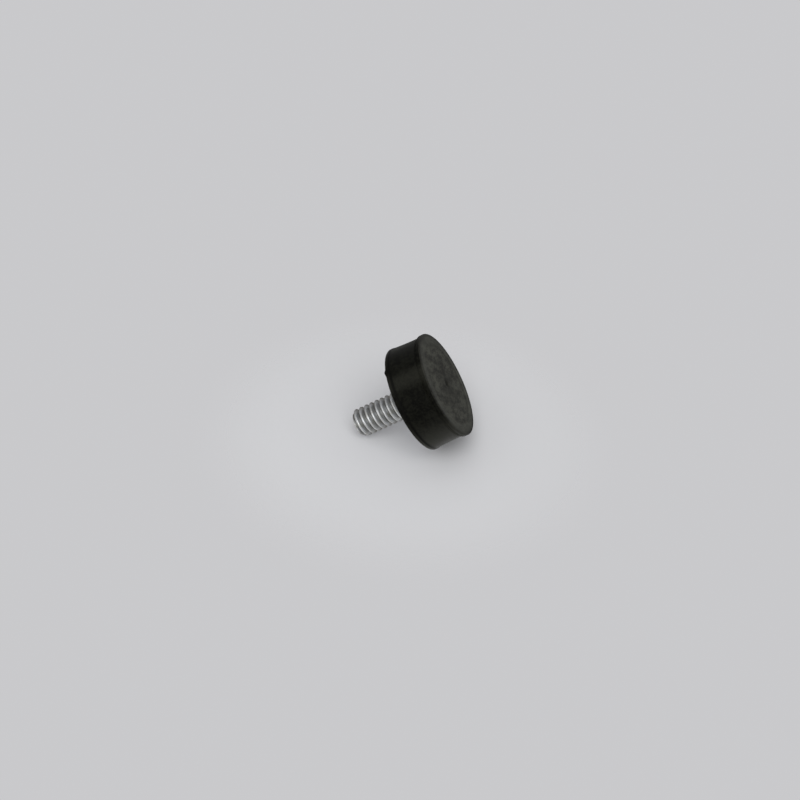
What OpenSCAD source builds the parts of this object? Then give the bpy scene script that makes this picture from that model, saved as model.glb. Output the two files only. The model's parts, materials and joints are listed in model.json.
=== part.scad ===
// Rubber buffer: a round moulded rubber foot, bonded to a steel plate that holds a threaded stud.
// The working face of the rubber lies at z = 0 and the stud points up along +Z.
// Every piece is a revolved section, and each section is drawn in the half plane x >= 0, with y as height.

/* [Rubber] */
// Diameter over the two moulded lips
lip_d = 23.4; // [18:0.1:40]
// Height from the working face to the mounting face
body_h = 8.5; // [6.5:0.1:16]
// Height of the lip round the working face
front_lip_h = 1; // [0.6:0.1:2]
// Height of the lip round the mounting face
back_lip_h = 0.9; // [0.6:0.1:2]
// Radial step from the back lip down to the side of the rubber
lip_step = 0.1; // [0.05:0.01:0.25]
// How much deeper the side lies behind the front lip, which lets the rubber leave its mould
side_draft = 0.22; // [0.05:0.01:0.3]
// Radius in the root of each lip
lip_root_r = 0.6; // [0.6:0.05:1]
// Hollow of the side between the roots of the two lips
waist_hollow = 0.05; // [0.02:0.01:0.5]
// Rounding of the edge of the working face
front_edge_r = 0.3; // [0.1:0.05:0.5]
// Rounding of the edge of the mounting face
back_edge_r = 0.45; // [0.1:0.05:0.5]
// Thickness of the rubber round the edge of the plate
rim_skin = 1.1; // [0.8:0.1:2.5]
// Diameter of the dimple left by the mould's gate in the working face
gate_d = 1.8; // [1:0.1:3]
// Depth of the gate's dimple
gate_depth = 0.2; // [0.1:0.05:0.4]

/* [Base plate] */
// Thickness of the steel plate
plate_t = 1.6; // [1:0.1:2.5]
// Rounding of the inner edge of the plate
plate_edge_r = 0.4; // [0.1:0.05:0.8]

/* [Stud] */
// Diameter over the crests of the thread
stud_d = 6.35; // [4:0.05:8]
// Free length of the stud, from the mounting face to its tip
stud_len = 13.4; // [6:0.1:40]
// Distance from one crest of the thread to the next
thread_pitch = 1.27; // [0.7:0.01:1.5]
// Plain length between the mounting face and the thread's first crest
thread_start = 1.27; // [0.2:0.01:3]
// Chamfer on the tip of the stud
tip_chamfer = 0.7; // [0.3:0.1:1.2]
// How far the pressed shoulder stands out past the thread
shoulder_step = 0.45; // [0.2:0.05:1]
// How far the hidden head reaches past the shoulder
head_brim = 1.9; // [1:0.1:2.5]
// Thickness of the hidden head
head_t = 1.6; // [1:0.1:2.5]
// Rounding of the outer edge of the hidden head
head_edge_r = 0.4; // [0.1:0.05:0.8]

/* [Hidden] */
$fn = 96;
// The waist is a shallow arc of a large circle, so that circle needs fine steps
waist_fn = 1440;
// How far a cutting shape runs past what it cuts
over = 1;

lip_r = lip_d / 2;
plate_r = lip_r - rim_skin;
plate_z = body_h - plate_t;
stud_r = stud_d / 2;
shoulder_r = stud_r + shoulder_step;
head_r = shoulder_r + head_brim;
head_z = plate_z - head_t;
tip_z = body_h + stud_len;
// The thread has flats of a pitch / 8 on its crests and flanks at 60 degrees to each other
thread_depth = 0.6134 * thread_pitch;
root_r = stud_r - thread_depth;
groove_half_w = thread_pitch * 7 / 16;
root_half_w = groove_half_w - thread_depth * tan(30);
groove_count = floor((stud_len - thread_start) / thread_pitch);
// The side's two ends, where the roots of the lips begin
front_side = [lip_r - lip_step - side_draft, front_lip_h + root_reach(lip_step + side_draft)];
back_side = [lip_r - lip_step, body_h - back_lip_h - root_reach(lip_step)];
// The waist is an arc through both ends
side_run = back_side - front_side;
waist_arc_r = arc_radius(norm(side_run) / 2, waist_hollow);
waist_arc_mid = (front_side + back_side) / 2
    + [side_run.y, -side_run.x] / norm(side_run) * (waist_arc_r - waist_hollow);
gate_ball_r = arc_radius(gate_d / 2, gate_depth);

// Radius of the arc that spans a chord of twice half_chord and is rise deep
function arc_radius(half_chord, rise) = (half_chord * half_chord + rise * rise) / (2 * rise);

// Height that a lip's root takes, from the lip's edge to the side that lies depth further in
function root_reach(depth) = sqrt(lip_root_r * lip_root_r - (lip_root_r - depth) * (lip_root_r - depth));

// What a rounding of radius r takes off a square corner that points to +x and -y
module outer_corner(r) {
    difference() {
        translate([-r, -over]) square([r + over, r + over]);
        translate([-r, r]) circle(r = r);
    }
}

// Cuts the side back between the lips, with round roots, a draft and a shallow waist
module side_cut() {
    polygon([front_side, [lip_r + over, front_side.y], [lip_r + over, back_side.y], back_side]);
    for (side_end = [front_side, back_side])
        translate(side_end + [lip_root_r, 0]) circle(r = lip_root_r);
    intersection() {
        translate(waist_arc_mid) circle(r = waist_arc_r, $fn = waist_fn);
        translate([0, front_side.y]) square([lip_r + over, side_run.y]);
    }
}

// Outline of the rubber before the plate and the stud's head are taken out of it
module rubber_blank() {
    difference() {
        square([lip_r, body_h]);
        translate([lip_r, 0]) outer_corner(front_edge_r);
        translate([lip_r, body_h]) mirror([0, 1]) outer_corner(back_edge_r);
        side_cut();
        translate([0, gate_depth - gate_ball_r]) circle(r = gate_ball_r);
    }
}

// Solid disc of the plate, before its hole
module plate_disc() {
    difference() {
        translate([0, plate_z]) square([plate_r, plate_t]);
        translate([plate_r, plate_z]) outer_corner(plate_edge_r);
    }
}

// Hidden head of the stud, against the inner face of the plate
module head_disc() {
    difference() {
        translate([0, head_z]) square([head_r, head_t]);
        translate([head_r, head_z]) outer_corner(head_edge_r);
    }
}

// One groove of the thread, centred on its own height and open to the outside
module thread_groove() {
    polygon([
        [root_r, -root_half_w],
        [stud_r, -groove_half_w],
        [stud_r + over, -groove_half_w],
        [stud_r + over, groove_half_w],
        [stud_r, groove_half_w],
        [root_r, root_half_w]
    ]);
}

// The threaded length. Its grooves are level rings, at the thread's pitch and with its section
module threaded_length() {
    difference() {
        polygon([
            [0, body_h],
            [stud_r, body_h],
            [stud_r, tip_z - tip_chamfer],
            [stud_r - tip_chamfer, tip_z],
            [0, tip_z]
        ]);
        for (groove = [0 : groove_count - 1])
            translate([0, body_h + thread_start + (groove + 0.5) * thread_pitch]) thread_groove();
    }
}

module stud_section() {
    head_disc();
    // pressed shoulder, flush with the mounting face
    translate([0, plate_z]) square([shoulder_r, plate_t]);
    threaded_length();
}

module rubber_body() {
    color([0.11, 0.11, 0.10])
        rotate_extrude()
            difference() {
                rubber_blank();
                plate_disc();
                head_disc();
            }
}

module base_plate() {
    color([0.72, 0.73, 0.74])
        rotate_extrude()
            difference() {
                plate_disc();
                translate([0, plate_z - over]) square([shoulder_r, plate_t + 2 * over]);
            }
}

module threaded_stud() {
    color([0.78, 0.79, 0.80])
        rotate_extrude() stud_section();
}

rubber_body();
base_plate();
threaded_stud();
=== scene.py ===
import json
import math

import bpy
from mathutils import Matrix, Vector, noise


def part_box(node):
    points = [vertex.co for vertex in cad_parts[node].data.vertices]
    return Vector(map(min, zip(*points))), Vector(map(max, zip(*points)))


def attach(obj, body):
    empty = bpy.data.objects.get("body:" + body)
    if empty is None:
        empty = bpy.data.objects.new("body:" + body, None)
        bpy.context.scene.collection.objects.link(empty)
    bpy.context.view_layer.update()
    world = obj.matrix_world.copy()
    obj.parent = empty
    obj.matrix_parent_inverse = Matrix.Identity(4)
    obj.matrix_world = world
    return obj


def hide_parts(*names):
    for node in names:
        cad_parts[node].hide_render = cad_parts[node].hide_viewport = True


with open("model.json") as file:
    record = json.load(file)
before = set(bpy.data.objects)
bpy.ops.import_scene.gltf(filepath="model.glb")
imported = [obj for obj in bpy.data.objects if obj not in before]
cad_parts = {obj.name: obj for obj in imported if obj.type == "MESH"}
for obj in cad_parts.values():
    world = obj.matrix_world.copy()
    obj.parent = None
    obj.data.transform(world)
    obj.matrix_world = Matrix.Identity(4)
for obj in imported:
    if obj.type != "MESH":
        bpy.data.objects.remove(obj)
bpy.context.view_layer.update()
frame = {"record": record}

# Rubber buffer: a moulded rubber foot, bonded to a plated steel plate that holds a threaded stud.
# It stands on its working face, at z = 0, with the stud up. Lengths are in metres.

MM = 0.001

# ---- Sizes, from the frame where it has them ----
mounts = {mount["name"]: mount for mount in frame["record"]["mounts"]}
rubber_low, rubber_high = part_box("rubber_body")
plate_low, plate_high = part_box("base_plate")
stud_low, stud_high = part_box("threaded_stud")

lip_r = rubber_high.x
body_top = rubber_high.z
plate_r = plate_high.x
plate_bottom = plate_low.z
head_r = stud_high.x
head_bottom = stud_low.z
stud_tip = stud_high.z
stud_r = mounts["stud"]["dims"]["r_mm"] * MM

front_lip_h = 1.0 * MM
back_lip_h = 0.9 * MM
back_lip_z = body_top - back_lip_h
lip_step = 0.1 * MM
lip_corner_r = 0.3 * MM
lip_root_r = 0.6 * MM
side_draft = 0.22 * MM
waist_hollow = 0.05 * MM
front_edge_r = 0.3 * MM
back_edge_r = 0.45 * MM
face_rim_w = 2.2 * MM
face_rim_r = lip_r - face_rim_w
face_recess = 0.05 * MM
gate_r = 0.9 * MM
gate_depth = 0.2 * MM
back_rim_w = 0.7 * MM
film_w = 0.35 * MM
film_t = 0.03 * MM
nub_reach = 0.2 * MM
nub_w = 0.6 * MM
nub_t = 0.28 * MM
seam_reach = 0.035 * MM
seam_z = body_top - 0.35 * MM
seam_w = 0.16 * MM
plate_edge_r = 0.4 * MM
shoulder_r = stud_r + 0.45 * MM
shoulder_chamfer = 0.09 * MM
head_edge_r = 0.4 * MM
tip_chamfer = 0.7 * MM
tip_cup = 0.2 * MM
inch = 25.4 * MM
turns_per_inch = 20
thread_pitch = inch / turns_per_inch
thread_depth = 0.6134 * thread_pitch
thread_round = 0.2 * MM
crest_half = thread_pitch / 7.5
runout_h = 1.2 * MM

# the azimuth that marks on the rubber and the start of the thread are counted from
marked_azimuth = 206.1
nub_azimuth = marked_azimuth + 39.5
# height over the plate of a crest at the marked azimuth
crest_h = 9.693 * thread_pitch


# ---- Camera ----
# The buffer is shown as it lies on its side, on the stud's tip and the edge of its back, so the camera
# looks up past the standing buffer and a second floor leans against those two places.
lean_azimuth = 262
camera_azimuth = lean_azimuth - 55.9
camera_dip = 19.15
camera_roll = 24.5
camera_distance = 348.8 * MM
lens_mm = 74.25
sensor_mm = 36.0
object_right = 9.92 * MM
object_up = 3.405 * MM


def towards(azimuth, elevation):
    """The direction of a place seen from the object. Azimuth 0 is towards -Y and 90 towards +X."""
    turn, rise = math.radians(azimuth), math.radians(elevation)
    return Vector((math.sin(turn) * math.cos(rise), -math.cos(turn) * math.cos(rise), math.sin(rise)))


def angle_of(azimuth):
    """The angle about Z, counted from +X, of an azimuth."""
    return math.radians(azimuth - 90)


# ---- Outlines of revolved pieces ----
def rounded(corners, steps=7):
    """The line through corners (x, z, radius), with an arc of that radius in place of each corner."""
    line = []
    for index, (x, z, radius) in enumerate(corners):
        here = Vector((x, z))
        if radius == 0:
            line.append(here)
            continue
        back = (Vector(corners[index - 1][:2]) - here).normalized()
        ahead = (Vector(corners[index + 1][:2]) - here).normalized()
        half = back.angle(ahead) / 2
        centre = here + (back + ahead).normalized() * radius / math.sin(half)
        start = here + back * radius / math.tan(half) - centre
        end = here + ahead * radius / math.tan(half) - centre
        sweep = start.angle_signed(end)
        for step in range(steps + 1):
            line.append(centre + Matrix.Rotation(-sweep * step / steps, 2) @ start)
    return line


def filled(line, longest):
    """The same line, with points added so that no stretch is longer than longest."""
    points = [line[0]]
    for start, end in zip(line, line[1:]):
        count = max(1, math.ceil((end - start).length / longest))
        points += [start.lerp(end, (part + 1) / count) for part in range(count)]
    return points


# ---- Meshes ----
def new_piece(name, vertices, faces, sharp_angle):
    mesh = bpy.data.meshes.new(name)
    mesh.from_pydata(vertices, [], faces)
    mesh.validate()
    mesh.shade_smooth()
    mesh.set_sharp_from_angle(angle=math.radians(sharp_angle))
    piece = bpy.data.objects.new(name, mesh)
    bpy.context.scene.collection.objects.link(piece)
    return piece


def on_circle(radius, angle, z):
    return Vector((radius * math.cos(angle), radius * math.sin(angle), z))


def level_ring(vertices, radius, z, segments, shape=None):
    """Adds a ring of vertices and gives their numbers. A ring without radius is one shared vertex."""
    if radius == 0:
        vertices.append(Vector((0, 0, z)))
        return [len(vertices) - 1] * segments
    ring = []
    for segment in range(segments):
        angle = 2 * math.pi * segment / segments
        place = on_circle(radius, angle, z)
        ring.append(len(vertices))
        vertices.append(shape(place, angle) if shape else place)
    return ring


def band(lower, upper):
    """Faces between two rows of vertices. Where the rows share a vertex, the face has three corners."""
    faces = []
    for side in range(len(lower) - 1):
        corners = []
        for corner in (lower[side], lower[side + 1], upper[side + 1], upper[side]):
            if corner not in corners:
                corners.append(corner)
        if len(corners) > 2:
            faces.append(tuple(corners))
    return faces


def round_band(lower, upper):
    """Faces all the way round between two rings."""
    return band(lower + lower[:1], upper + upper[:1])


def revolved(line, segments, shape=None):
    """Vertices and faces of an outline turned about Z. shape moves each point of the surface.

    A line that starts and ends on the axis is closed there, and any other is closed on itself."""
    vertices, faces = [], []
    rings = [level_ring(vertices, point.x, point.y, segments, shape) for point in line]
    if line[0].x > 0:
        rings.append(rings[0])
    for lower, upper in zip(rings, rings[1:]):
        faces += round_band(lower, upper)
    return vertices, faces


def smooth_step(low, high, value):
    part = min(max((value - low) / (high - low), 0), 1)
    return part * part * (3 - 2 * part)


# ---- Rubber ----
RUBBER_SEGMENTS = 288


def root_reach(depth):
    """Height that a lip's root takes, from the lip's edge to the side that lies depth further in."""
    return math.sqrt(lip_root_r ** 2 - (lip_root_r - depth) ** 2)


front_side = Vector((lip_r - lip_step - side_draft, front_lip_h + root_reach(lip_step + side_draft)))
back_side = Vector((lip_r - lip_step, back_lip_z - root_reach(lip_step)))


def lip_root(side_end, lip_z, steps=6):
    """Points of the round root, from beside the lip's rounded corner to the side."""
    centre = side_end + Vector((lip_root_r, 0))
    edge = Vector((lip_r, lip_z)) - centre
    turn = edge.angle_signed(Vector((-1, 0)))
    points = [centre + Matrix.Rotation(-turn * step / steps, 2) @ edge for step in range(2, steps)]
    return [(point.x, point.y, 0) for point in points]


def waist(steps=14):
    """Points of the shallow arc between the two roots."""
    points = []
    for step in range(steps + 1):
        part = step / steps
        point = front_side.lerp(back_side, part)
        points.append((point.x - 4 * waist_hollow * part * (1 - part), point.y, 0))
    return points


def gate_dimple():
    """Points of the round dimple, from the middle of the working face to its edge."""
    shares = (0, 0.25, 0.5, 0.75, 0.9, 1)
    return [(gate_r * share, gate_depth * (1 - share * share) + face_recess, 0) for share in shares]


def rubber_line():
    """Outline of the rubber, from the middle of its working face round to the middle of the pocket."""
    corners = [
        *gate_dimple(),
        (face_rim_r - 0.12 * MM, face_recess, 0.1 * MM),
        (face_rim_r + 0.1 * MM, 0, 0.1 * MM),
        (lip_r, 0, front_edge_r),
        (lip_r, front_lip_h, lip_corner_r),
        *lip_root(front_side, front_lip_h),
        *waist(),
        *reversed(lip_root(back_side, back_lip_z)),
        (lip_r, back_lip_z, lip_corner_r),
        (lip_r, body_top, back_edge_r),
        (plate_r + 0.1 * MM, body_top, 0.05 * MM),
        (plate_r - film_w, body_top + film_t, 0),
        (plate_r - film_w, body_top, 0),
        (plate_r, body_top, 0),
        (plate_r, plate_bottom, plate_edge_r),
        (head_r, plate_bottom, 0),
        (head_r, head_bottom, 0),
        (0, head_bottom, 0),
    ]
    return filled(rounded(corners), 0.3 * MM)


def unevenness(place, per_metre, height):
    """How far the moulding strays at a place, with this many waves to the metre."""
    return noise.noise(place * per_metre) * height


def film_edge(place, radius):
    """The film's edge on the plate, which wanders in and out."""
    wander = unevenness(place, 420, 0.25 * MM) + unevenness(place, 1300, 0.125 * MM)
    scale = 1 + wander / radius
    return Vector((place.x * scale, place.y * scale, place.z))


def flash_nub(radius, angle, z):
    """How far the nub of flash on the back edge stands out of the rubber."""
    past_corner = math.hypot(z - body_top + 0.08 * MM, radius - lip_r + 0.25 * MM) / nub_t
    beside = math.remainder(angle - angle_of(nub_azimuth), 2 * math.pi) * lip_r / nub_w
    return nub_reach * math.exp(-beside ** 2 - past_corner ** 2)


def flash_seam(angle, z):
    """The low, uneven seam of flash round the back lip."""
    at_back = math.exp(-((z - seam_z) / seam_w) ** 2)
    uneven = 0.6 + 0.4 * noise.noise(on_circle(9, angle, 3))
    return seam_reach * at_back * uneven


def moulded(place, angle):
    """Where a point of the ideal rubber lies on the moulded one, with its flash and slight unevenness."""
    radius = math.hypot(place.x, place.y)
    if radius < lip_r - back_rim_w and place.z > front_lip_h:
        hair = 0.001 * MM
        on_film = place.z >= body_top - hair and radius < plate_r - hair
        return film_edge(place, radius) if on_film else place
    if radius < face_rim_r:
        return place + Vector((0, 0, max(0, unevenness(place, 260, 0.02 * MM))))
    nub = flash_nub(radius, angle, place.z)
    uneven = unevenness(place, 160, 0.025 * MM) + unevenness(place, 700, 0.006 * MM)
    # this much less radius keeps the unevenness within the lips' diameter
    keep_in = 0.03 * MM
    out = on_circle(1, angle, 0)
    return place + out * (uneven - keep_in + nub + flash_seam(angle, place.z)) + Vector((0, 0, nub))


def make_rubber():
    vertices, faces = revolved(rubber_line(), RUBBER_SEGMENTS, moulded)
    return new_piece("rubber_foot", vertices, faces, 50)


# ---- Plate ----
PLATE_SEGMENTS = 192


def make_plate():
    corners = [
        (shoulder_r, plate_bottom, 0),
        (plate_r, plate_bottom, plate_edge_r),
        (plate_r, body_top, 0),
        (shoulder_r + shoulder_chamfer, body_top, 0),
        (shoulder_r, body_top - shoulder_chamfer, 0),
    ]
    vertices, faces = revolved(filled(rounded(corners), 0.5 * MM), PLATE_SEGMENTS)
    return new_piece("plated_plate", vertices, faces, 30)


# ---- Stud, with its rolled thread ----
STUD_SEGMENTS = 128
ROWS_PER_TURN = 24
THREAD_ROWS = math.ceil((stud_tip - body_top) / thread_pitch * ROWS_PER_TURN) + 1


def eased(drop):
    """The larger of drop and nothing, with a soft change from one to the other."""
    return (drop + math.hypot(drop, thread_round)) / 2


def thread_radius(angle, z):
    """Radius of the rolled thread: flat crests, flanks at 60 degrees and rounded roots."""
    from_mark = (angle - angle_of(marked_azimuth)) / (2 * math.pi)
    turn = (z - body_top - crest_h) / thread_pitch - from_mark
    off_crest = abs(turn - round(turn)) * thread_pitch
    drop = eased((off_crest - crest_half) * math.sqrt(3))
    drop = thread_depth - eased(thread_depth - drop)
    radius = stud_r - max(drop, 0)
    # the thread runs out just above the plate
    blank_r = stud_r - 0.42 * thread_depth
    radius = blank_r + (radius - blank_r) * smooth_step(0, runout_h, z - body_top)
    # the chamfer on the tip
    return min(radius, stud_r - tip_chamfer + (stud_tip - z))


def head_rings(vertices):
    """Rings of the hidden head and the pressed shoulder, from the middle of the head up."""
    corners = [
        (0, head_bottom, 0),
        (head_r, head_bottom, head_edge_r),
        (head_r, plate_bottom, 0),
        (shoulder_r, plate_bottom, 0),
        (shoulder_r, body_top - shoulder_chamfer, 0),
        (shoulder_r - shoulder_chamfer, body_top, 0),
    ]
    return [level_ring(vertices, point.x, point.y, STUD_SEGMENTS) for point in rounded(corners)]


def thread_column(vertices, segment):
    """Adds one line of vertices up the thread and gives their numbers, from the plate to the tip.

    Rows follow the helix, and those that fall past an end of the thread share the end's vertex."""
    angle = 2 * math.pi * segment / STUD_SEGMENTS
    column = []
    for row in range(-ROWS_PER_TURN, THREAD_ROWS + 1):
        z = body_top + (row / ROWS_PER_TURN + segment / STUD_SEGMENTS) * thread_pitch
        z = min(max(z, body_top), stud_tip)
        if column and z == vertices[column[-1]].z:
            column.append(column[-1])
        else:
            column.append(len(vertices))
            vertices.append(on_circle(thread_radius(angle, z), angle, z))
    return column


def end_rings(vertices, rim):
    """Rings of the stud's cold-formed end, from its rim in: a flat, then a shallow cup."""
    rings = [rim]
    for share, depth in ((0.98, 0), (0.8, 0), (0.72, 0.25), (0.4, 0.8), (0.15, 1)):
        ring = []
        for corner in rim:
            place = vertices[corner] * share
            place.z = stud_tip - tip_cup * depth
            ring.append(len(vertices))
            vertices.append(place)
        rings.append(ring)
    rings.append(level_ring(vertices, 0, stud_tip - tip_cup, STUD_SEGMENTS))
    return rings


def make_stud():
    vertices, faces = [], []
    columns = [thread_column(vertices, segment) for segment in range(STUD_SEGMENTS)]
    # round the stud and back at the first column, the rows have climbed by one turn
    climbed = columns[0][ROWS_PER_TURN:] + columns[0][-1:] * ROWS_PER_TURN
    rows = list(zip(*columns, climbed))
    for lower, upper in zip(rows, rows[1:]):
        faces += band(lower, upper)
    foot = [column[0] for column in columns]
    rim = [column[-1] for column in columns]
    for rings in (head_rings(vertices) + [foot], end_rings(vertices, rim)):
        for lower, upper in zip(rings, rings[1:]):
            faces += round_band(lower, upper)
    return new_piece("stud_with_thread", vertices, faces, 40)


# ---- Node expressions ----
class Value:
    """A node's output that adds Math nodes when it is used in an expression."""

    def __init__(self, nodes, socket):
        self.nodes = nodes
        self.socket = socket

    def with_(self, operation, first, second):
        return self.nodes.add("ShaderNodeMath", {"operation": operation}, {0: first, 1: second}).out()

    def __add__(self, other):
        return self.with_("ADD", self, other)

    def __radd__(self, other):
        return self.with_("ADD", other, self)

    def __sub__(self, other):
        return self.with_("SUBTRACT", self, other)

    def __rsub__(self, other):
        return self.with_("SUBTRACT", other, self)

    def __mul__(self, other):
        return self.with_("MULTIPLY", self, other)

    def __rmul__(self, other):
        return self.with_("MULTIPLY", other, self)

    def root(self):
        return self.with_("POWER", self, 0.5)

    def is_over(self, other):
        return self.with_("GREATER_THAN", self, other)

    def at_least(self, other):
        return self.with_("MAXIMUM", self, other)


class Made:
    """A node that was added."""

    def __init__(self, nodes, node):
        self.nodes = nodes
        self.node = node

    def out(self, name=0):
        return Value(self.nodes, self.node.outputs[name])


class Nodes:
    """A node tree that is written in plain steps."""

    def __init__(self, tree):
        self.tree = tree
        tree.nodes.clear()

    def add(self, kind, settings=None, inputs=None):
        """Any node: its settings first, then the values and links of its inputs."""
        node = self.tree.nodes.new(kind)
        for name, value in (settings or {}).items():
            setattr(node, name, value)
        for name, value in (inputs or {}).items():
            if isinstance(value, Value):
                self.tree.links.new(value.socket, node.inputs[name])
            else:
                node.inputs[name].default_value = value
        return Made(self, node)

    def vector(self, operation, inputs):
        return self.add("ShaderNodeVectorMath", {"operation": operation}, inputs)

    def step(self, value, low, high, to_low=0.0, to_high=1.0):
        """Goes smoothly from to_low to to_high as value goes from low to high."""
        settings = {"interpolation_type": "SMOOTHSTEP"}
        inputs = {"Value": value, 1: low, 2: high, 3: to_low, 4: to_high}
        return self.add("ShaderNodeMapRange", settings, inputs).out()

    def mixed(self, part, first, second):
        """The colour first where part is 0 and second where it is 1."""
        colours = [colour if isinstance(colour, Value) else (*colour, 1) for colour in (first, second)]
        inputs = {0: part, 6: colours[0], 7: colours[1]}
        return self.add("ShaderNodeMix", {"data_type": "RGBA"}, inputs).out(2)

    def grain(self, place, scale, detail=2.0, roughness=0.5, stretch=(1, 1, 1)):
        """Noise from 0 to 1, with scale features to the millimetre."""
        if stretch != (1, 1, 1):
            place = self.vector("MULTIPLY", {0: place, 1: stretch}).out()
        inputs = {"Vector": place, "Scale": scale, "Detail": detail, "Roughness": roughness}
        return self.add("ShaderNodeTexNoise", None, inputs).out(0)


class Finish(Nodes):
    """A material, with the place on the object in millimetres."""

    def __init__(self, name):
        self.material = bpy.data.materials.new(name)
        self.material.use_nodes = True
        super().__init__(self.material.node_tree)
        at = self.add("ShaderNodeTexCoord").out("Object")
        self.place = self.vector("SCALE", {0: at, "Scale": 1 / MM}).out()
        split = self.add("ShaderNodeSeparateXYZ", None, {0: self.place})
        self.z = split.out(2)
        flat = self.add("ShaderNodeCombineXYZ", None, {0: split.out(0), 1: split.out(1)})
        self.radius = self.vector("LENGTH", {0: flat.out()}).out("Value")

    def along(self, direction):
        """How far the place lies along a direction, in millimetres."""
        return self.vector("DOT_PRODUCT", {0: self.place, 1: direction}).out("Value")

    def away(self, first, second, first_mm, second_mm):
        """Distance in the plane of two measures from the point where they have these values."""
        across, up = first - first_mm, second - second_mm
        return (across * across + up * up).root()

    def bumped(self, height, depth_mm):
        inputs = {"Strength": 1.0, "Distance": depth_mm * MM, "Height": height}
        return self.add("ShaderNodeBump", None, inputs).out()

    def surface(self, shader):
        self.add("ShaderNodeOutputMaterial", None, {"Surface": shader.out()})
        return self.material

    def principled(self, **inputs):
        named = {name.replace("_", " "): value for name, value in inputs.items()}
        return self.surface(self.add("ShaderNodeBsdfPrincipled", None, named))


# ---- Finishes ----
class RubberFinish(Finish):
    """The rubber's finish, with the grain that all its parts share."""

    def __init__(self, name):
        super().__init__(name)
        # near and aside run across the rubber, towards the marked azimuth and square to it
        self.near = self.along(towards(marked_azimuth, 0))
        self.aside = self.along(towards(marked_azimuth - 90, 0))
        # the grain is drawn out along near
        drawn = self.add("ShaderNodeCombineXYZ", None, {0: self.near * 0.45, 1: self.aside, 2: self.z}).out()
        self.mottle = self.grain(drawn, 0.5, 4, 0.6)
        self.cloud = self.grain(drawn, 0.2, 2)
        self.fine = self.grain(drawn, 2.0, 4, 0.65)
        self.grit = self.grain(drawn, 6.0, 2, 0.6)

    def smudge(self, near_mm, aside_mm, reach_mm):
        """A ragged smudge on the working face, 1 in its middle and drawn out along near."""
        away = self.away(self.near * 0.35, self.aside, near_mm, aside_mm) + (self.fine - 0.5) * 0.65
        return self.step(away, 0.3, reach_mm, 1.0, 0.0)

    def between(self, value, low, high, rise, fall):
        """1 where value lies between low and high, with a soft rise and fall of these widths inside them."""
        return self.step(value, low, low + rise) * self.step(value, high - fall, high, 1.0, 0.0)


# the working face's colours are paler in part as painted sheen
FACE_DARK = (0.013, 0.0128, 0.0102)
FACE_PALE = (0.062, 0.063, 0.0525)
RIM_DARK = (0.031, 0.0315, 0.0265)
RIM_PALE = (0.062, 0.063, 0.0535)
SMUDGE = (0.006, 0.0056, 0.0045)
SIDE_DARK = (0.0008, 0.0008, 0.0003)
SIDE_PALE = (0.0062, 0.0064, 0.0044)
# painted sheen: pale tone for the side's painted highlight and painted reflection of the floor
PAINTED_SHEEN = (0.026, 0.0262, 0.021)
# painted shade in the corner in front of the back lip
CORNER_SHADE = (0.0004, 0.0004, 0.0002)


def working_face_colour(made):
    """A greyer, drier skin, made paler still as painted sheen: dark in the middle, with smudges, a broken
    dark ring and a paler rim.
    """
    rim_mm = face_rim_r / MM
    ragged = (made.fine - 0.5) * 1.3
    middle = made.step(made.radius + ragged * 1.6, 2.2, 6.4, 1.0, 0.0)
    ring = made.between(made.radius, rim_mm - 0.9, rim_mm + 0.2, 0.4, 0.5)
    broken = made.step(made.grit * 0.5 + made.fine * 0.5, 0.46, 0.56)
    ring = ring * broken * made.step(made.near, -7.0, 3.0, 1.0, 0.15)
    darker = (made.smudge(-0.2, -0.75, 0.95) * 0.75).at_least(made.smudge(0.1, 1.75, 1.3) * 0.5)
    darker = darker.at_least(ring * 0.8).at_least(middle * 0.33)
    patchy = made.step(made.mottle * 0.7 + made.fine * 0.3, 0.36, 0.64)
    # painted sheen in part: the pale tones stand in for the face's sheen at a slant
    inner = made.mixed(patchy, FACE_DARK, FACE_PALE)
    rim = made.mixed(patchy, RIM_DARK, RIM_PALE)
    on_rim = made.step(made.radius + ragged, rim_mm - 0.9, rim_mm + 0.1)
    return made.mixed(darker, made.mixed(on_rim, inner, rim), SMUDGE)


def side_colour(made):
    """Nearly black, with faint streaks, mottled patches of painted sheen and painted shade in the corner at
    the back lip.
    """
    streaks = made.step(made.mottle * 0.35 + made.cloud * 0.15 + made.fine * 0.5, 0.40, 0.60)
    colour = made.mixed(streaks, SIDE_DARK, SIDE_PALE)
    # painted sheen on the side towards the marked azimuth: a lamp's highlight, the pale floor's reflection
    # and a band at the far edge
    lamp_sheen_patch = made.between(made.aside, -7.0, -1.6, 2.3, 2.5) * 0.42
    floor_reflection_patch = made.step(made.aside, 4.6, 10.9) * 0.78
    edge_sheen_patch = made.step(made.aside, -11.4, -10.2, 0.4, 0.0)
    painted_sheen = (lamp_sheen_patch.at_least(floor_reflection_patch) * made.step(made.near, -1.0, 3.0)).at_least(edge_sheen_patch)
    colour = made.mixed(painted_sheen * (0.6 + made.fine * 0.8), colour, PAINTED_SHEEN)
    back_lip_mm = back_lip_z / MM
    # painted shade: a darker band in the corner in front of the back lip
    painted_corner_shade = made.between(made.z, back_lip_mm - 0.7, back_lip_mm + 0.2, 0.5, 0.2) * 0.75
    return made.mixed(painted_corner_shade, colour, CORNER_SHADE)


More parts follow.
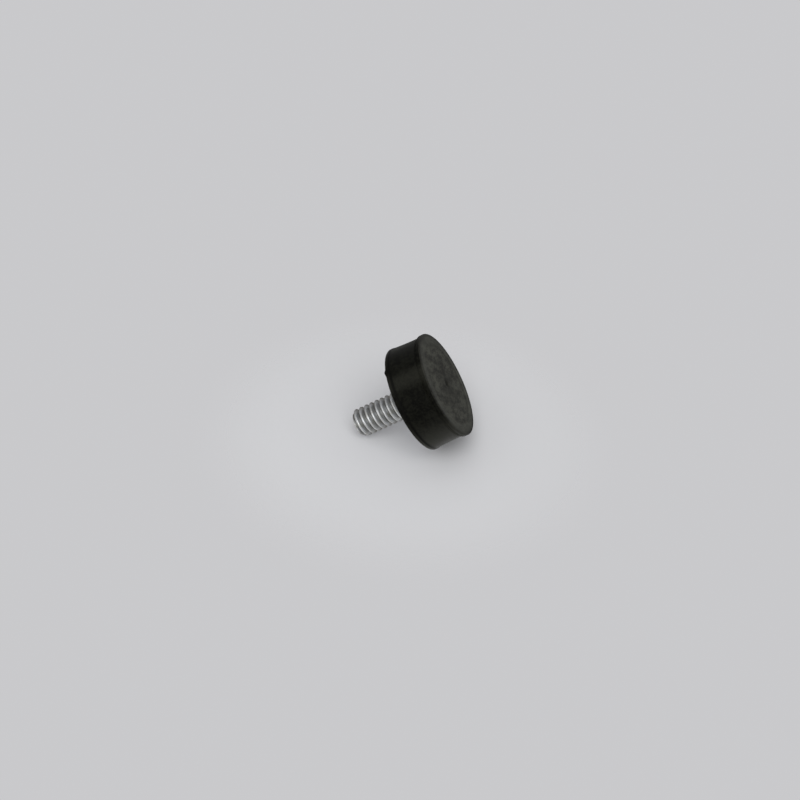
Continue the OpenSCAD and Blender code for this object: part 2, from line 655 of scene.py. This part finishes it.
def black_rubber():
    made = RubberFinish("moulded_black_rubber")
    edge_mm = lip_r / MM
    front_lip_mm = front_lip_h / MM
    low = made.step(made.z, 0.08, 0.3, 1.0, 0.0)
    on_face = low * made.step(made.radius, edge_mm - 1.2, edge_mm - 0.3, 1.0, 0.35)
    # the corner behind the front lip is duller than the side
    in_corner = made.between(made.z, front_lip_mm - 0.4, front_lip_mm + 0.6, 0.25, 0.35)
    uneven = (made.mottle - 0.5) * 0.3 + (made.fine - 0.5) * 0.3
    return made.principled(
        Base_Color=made.mixed(on_face, side_colour(made), working_face_colour(made)),
        Roughness=0.54 + on_face * 0.1 + in_corner * 0.4 + uneven,
        IOR=1.5,
        Specular_IOR_Level=0.05,
        Normal=made.bumped(made.grit * 0.3 + made.fine * 0.7, 0.035),
    )


def zinc_plating(name, light, dull, roughness, mark_run, edge_tint):
    """Bright zinc plating that has dulled in places.

    mark_run below 1 draws the fine marks out across the axis. edge_tint is the tint where it is seen at a
    slant."""
    made = Finish(name)
    cloud = made.grain(made.place, 0.9, 3)
    spots = made.grain(made.place, 3.5, 3, 0.6)
    marks = made.grain(made.place, 5.0, 2, 0.5, (mark_run, mark_run, 1))
    worn = made.step(cloud * 0.6 + spots * 0.4, 0.4, 0.66)
    return made.principled(
        Base_Color=made.mixed(worn, light, dull),
        Metallic=1.0,
        Roughness=roughness + (spots - 0.5) * 0.16 + worn * 0.08,
        Specular_Tint=(*edge_tint, 1),
        Normal=made.bumped(marks * 0.6 + spots * 0.4, 0.008),
    )


def one_sided_paper(name, colour, own_light, fade_from, fade_to, through_floor=False):
    """A pale sheet that is seen from above only and fades out between two distances in millimetres.

    own_light is the share of its look that no shadow darkens, as light thrown back by a pale room would.
    through_floor leaves only what is below the floor, or is seen up through the floor's clear back."""
    made = Finish(name)
    geometry = made.add("ShaderNodeNewGeometry")
    clear_part = geometry.out("Backfacing").at_least(made.step(made.radius, fade_from, fade_to))
    if through_floor:
        height = made.add("ShaderNodeSeparateXYZ", None, {0: geometry.out("Position")}).out("Z")
        sheets_passed = made.add("ShaderNodeLightPath").out("Transparent Depth")
        clear_part = clear_part.at_least(height.is_over(0.0) - sheets_passed)
    paper = made.add("ShaderNodeBsdfDiffuse", None, {"Color": (*colour, 1)})
    glow = made.add("ShaderNodeEmission", None, {"Color": (*colour, 1), "Strength": 1.0})
    lit = made.add("ShaderNodeMixShader", None, {0: own_light, 1: paper.out(), 2: glow.out()})
    clear = made.add("ShaderNodeBsdfTransparent")
    return made.surface(made.add("ShaderNodeMixShader", None, {0: clear_part, 1: lit.out(), 2: clear.out()}))


# ---- Studio ----
PALE = (0.585, 0.585, 0.60)
LEANING_PALE = (0.645, 0.648, 0.665)
ROOM_LIGHT = 0.42
SHEET_SIDES = 96


def make_world():
    """Even white light. The camera and polished pieces see a pale background."""
    world = bpy.data.worlds.new("studio")
    world.use_nodes = True
    nodes = Nodes(world.node_tree)
    path = nodes.add("ShaderNodeLightPath")
    shown = path.out("Is Camera Ray")
    for kind in ("Is Glossy Ray", "Is Transmission Ray"):
        shown = shown.at_least(path.out(kind))
    light = nodes.add("ShaderNodeBackground", None, {"Color": (1, 1, 1, 1), "Strength": ROOM_LIGHT})
    paper = nodes.add("ShaderNodeBackground", None, {"Color": (*PALE, 1), "Strength": 1.0})
    shader = nodes.add("ShaderNodeMixShader", None, {0: shown, 1: light.out(), 2: paper.out()})
    nodes.add("ShaderNodeOutputWorld", None, {"Surface": shader.out()})
    bpy.context.scene.world = world


def soft_light(name, direction, strength, width):
    """A lamp far away in a direction, as wide as this many degrees of the sky."""
    lamp = bpy.data.lights.new(name, "SUN")
    lamp.energy = strength * math.pi
    lamp.angle = math.radians(width)
    shown = bpy.data.objects.new(name, lamp)
    shown.rotation_mode = "QUATERNION"
    shown.rotation_quaternion = direction.to_track_quat("Z", "Y")
    bpy.context.scene.collection.objects.link(shown)


def sheet(name, centre, normal, radius, material):
    """A flat round sheet that takes the light but stands in nothing's way."""
    vertices = []
    ring = level_ring(vertices, radius, 0, SHEET_SIDES)
    mesh = bpy.data.meshes.new(name)
    mesh.from_pydata(vertices, [], [ring])
    mesh.materials.append(material)
    floor = bpy.data.objects.new(name, mesh)
    bpy.context.scene.collection.objects.link(floor)
    floor.rotation_mode = "QUATERNION"
    floor.rotation_quaternion = normal.to_track_quat("Z", "Y")
    # a hair behind the surface that the buffer touches
    floor.location = centre - normal * 0.01 * MM
    floor.visible_diffuse = False
    floor.visible_glossy = False
    floor.visible_shadow = False


def leaning_floor():
    """Centre and normal of the plane that touches the stud's last crest and the rounded back edge."""
    tip_run = stud_tip - tip_chamfer - (body_top - back_edge_r)
    drop = (lip_r - back_edge_r) - stud_r
    tilt = math.atan2(drop, tip_run) + math.asin(back_edge_r / math.hypot(drop, tip_run))
    out = towards(lean_azimuth, 0)
    normal = out * math.cos(tilt) - Vector((0, 0, math.sin(tilt)))
    tip = -out * stud_r + Vector((0, 0, stud_tip - tip_chamfer))
    edge = -out * (lip_r - back_edge_r) + Vector((0, 0, body_top - back_edge_r)) - normal * back_edge_r
    return (tip + edge) / 2, normal


def make_camera():
    toward_camera = towards(camera_azimuth, -camera_dip)
    axis = Vector((0, 0, -1))
    along = (axis - toward_camera * axis.dot(toward_camera)).normalized()
    across = toward_camera.cross(along)
    roll = math.radians(camera_roll)
    right = along * math.cos(roll) - across * math.sin(roll)
    up = along * math.sin(roll) + across * math.cos(roll)
    data = bpy.data.cameras.new("camera")
    data.lens = lens_mm
    data.sensor_width = sensor_mm
    data.clip_start = 0.01
    data.clip_end = 10
    camera = bpy.data.objects.new("camera", data)
    place = toward_camera * camera_distance - right * object_right - up * object_up
    turned = Matrix((right, up, toward_camera)).transposed().to_4x4()
    camera.matrix_world = Matrix.Translation(place) @ turned
    bpy.context.scene.collection.objects.link(camera)
    bpy.context.scene.camera = camera


# ---- Everything together ----
def dress(piece, node, material):
    piece.data.materials.append(material)
    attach(piece, "root")
    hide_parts(node)


sheet_zinc = zinc_plating(
    "zinc_plated_sheet",
    light=(0.62, 0.63, 0.65),
    dull=(0.5, 0.5, 0.5),
    roughness=0.36,
    mark_run=1.0,
    edge_tint=(1, 1, 1),
)
thread_zinc = zinc_plating(
    "zinc_plated_thread",
    light=(0.46, 0.47, 0.475),
    dull=(0.37, 0.37, 0.35),
    roughness=0.3,
    mark_run=0.25,
    edge_tint=(0.15, 0.13, 0.1),
)
dress(make_rubber(), "rubber_body", black_rubber())
dress(make_plate(), "base_plate", sheet_zinc)
dress(make_stud(), "threaded_stud", thread_zinc)

make_world()
floor_paper = one_sided_paper("floor_paper", PALE, own_light=0.1, fade_from=500, fade_to=880)
leaning_paper = one_sided_paper(
    "leaning_paper",
    LEANING_PALE,
    own_light=0.0,
    fade_from=24,
    fade_to=48,
    through_floor=True,
)
lean_centre, lean_normal = leaning_floor()
sheet("floor", Vector((0, 0, 0)), Vector((0, 0, 1)), 900 * MM, floor_paper)
sheet("leaning_floor", lean_centre, lean_normal, 50 * MM, leaning_paper)
soft_light("light_over_standing", towards(80, 64), strength=0.6, width=110)
soft_light("light_over_lying", towards(camera_azimuth + 12, -27), strength=0.4, width=56)
soft_light("fill_over_lying", towards(camera_azimuth + 12, -32), strength=0.29, width=120)
make_camera()

scene = bpy.context.scene
scene.view_settings.view_transform = "Standard"
